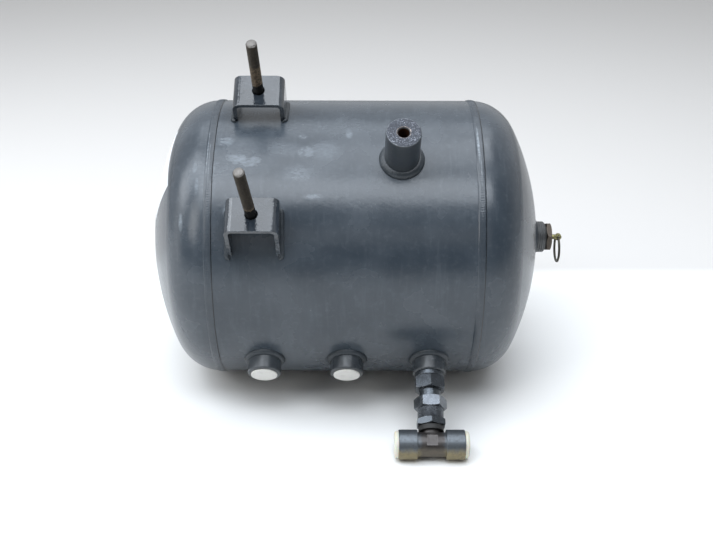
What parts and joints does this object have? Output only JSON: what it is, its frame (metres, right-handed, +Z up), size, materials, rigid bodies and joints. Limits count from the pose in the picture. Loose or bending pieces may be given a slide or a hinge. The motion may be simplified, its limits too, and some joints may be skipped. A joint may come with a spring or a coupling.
{
  "type": "compressed air reservoir",
  "caption": "Welded steel cylindrical air reservoir with domed heads, stud brackets, threaded bosses, pull-ring drain valve and a tee fitting.",
  "frame": {"origin": "on the ground, under the middle of the bounding box", "axes": "+X along the vessel's axis towards the drain valve, +Z up; the vessel lies on its girth welds and its tee"},
  "size_m": [0.4142, 0.3387, 0.3603],
  "materials": {
    "tank_paint": "semi-gloss blue-grey paint",
    "weld_paint": "semi-gloss blue-grey paint over weld beads",
    "stud_steel": "dull threaded steel, paint at the root",
    "plug_plastic": "matt off-white moulding",
    "cap_plastic": "cream translucent moulding",
    "valve_steel": "dark grey glossy coating",
    "tee_steel": "dull zinc with an olive cast",
    "drain_brass": "tarnished brass",
    "drain_steel": "dull plated steel",
    "ring_wire": "dull wire",
    "seal_rubber": "matt black",
    "spring_steel": "drawn wire",
    "label_film": "white film"
  },
  "bodies": {
    "vessel": {"shell": "tank_paint", "left_head": "tank_paint", "right_head": "tank_paint", "lengthwise_weld": "weld_paint", "left_girth_weld": "weld_paint", "right_girth_weld": "weld_paint", "left_port_boss": "tank_paint", "middle_port_boss": "tank_paint", "right_port_boss": "tank_paint", "left_port_weld": "weld_paint", "middle_port_weld": "weld_paint", "right_port_weld": "weld_paint", "support_boss": "tank_paint", "support_weld": "weld_paint", "drain_boss": "tank_paint", "drain_weld": "weld_paint", "upper_bracket": "tank_paint", "lower_bracket": "tank_paint", "upper_foot_welds": "weld_paint", "lower_foot_welds": "weld_paint", "upper_stud": "stud_steel", "lower_stud": "stud_steel", "drain_gasket": "seal_rubber", "drain_valve_body": "drain_steel", "drain_seat_seal": "seal_rubber", "drain_spring_retainer": "spring_steel", "drain_spring": "spring_steel", "port_seal_ring": "valve_steel", "port_o_ring": "seal_rubber", "valve_inlet_body": "valve_steel", "valve_outlet_body": "valve_steel", "valve_seat_seal": "seal_rubber", "valve_spring_guide": "drain_brass", "valve_spring": "spring_steel", "connector_nut": "valve_steel", "grab_ring": "spring_steel", "dust_ring": "seal_rubber", "type_label": "label_film"},
    "drain_pin": {"drain_pin": "drain_brass"},
    "drain_ring": {"drain_ring": "ring_wire"},
    "poppet": {"valve_poppet": "drain_brass"},
    "tee": {"tee_body": "tee_steel", "spigot_o_ring": "seal_rubber"},
    "left_plug": {"left_port_plug": "plug_plastic"},
    "middle_plug": {"middle_port_plug": "plug_plastic"},
    "left_cap": {"left_tee_cap": "cap_plastic"},
    "right_cap": {"right_tee_cap": "cap_plastic"}
  },
  "joints": [
    {"name": "drain_pin_tilt", "type": "hinge", "parent": "vessel", "child": "drain_pin", "pos_m": [0.1849, 0.03039, 0.147], "axis": [0, 1, 0], "range_deg": [0, 11], "stiffness_Nm_per_rad": 0.1, "springref_deg": -34.38, "deforming": ["drain_spring"]},
    {"name": "drain_ring_swing", "type": "hinge", "parent": "drain_pin", "child": "drain_ring", "pos_m": [0.2037, 0.03039, 0.1387], "axis": [0, 1, 0], "range_deg": [-100, 22]},
    {"name": "poppet_lift", "type": "slide", "parent": "vessel", "child": "poppet", "axis": [0, 0.8296, 0.5584], "range_m": [0, 0.004], "stiffness_N_per_m": 300, "springref_m": -0.004, "deforming": ["valve_spring"]},
    {"name": "tee_swivel", "type": "hinge", "parent": "vessel", "child": "tee", "pos_m": [0.0661, -0.14564, 0.0205], "axis": [0, -0.8296, -0.5584], "continuous": true},
    {"name": "left_plug_pull", "type": "slide", "parent": "vessel", "child": "left_plug", "axis": [0, -0.8296, -0.5584], "range_m": [0, 0.02]},
    {"name": "middle_plug_pull", "type": "slide", "parent": "vessel", "child": "middle_plug", "axis": [0, -0.8296, -0.5584], "range_m": [0, 0.02]},
    {"name": "left_cap_pull", "type": "slide", "parent": "tee", "child": "left_cap", "axis": [-1, 0, 0], "range_m": [0, 0.02]},
    {"name": "right_cap_pull", "type": "slide", "parent": "tee", "child": "right_cap", "axis": [1, 0, 0], "range_m": [0, 0.02]}
  ]
}
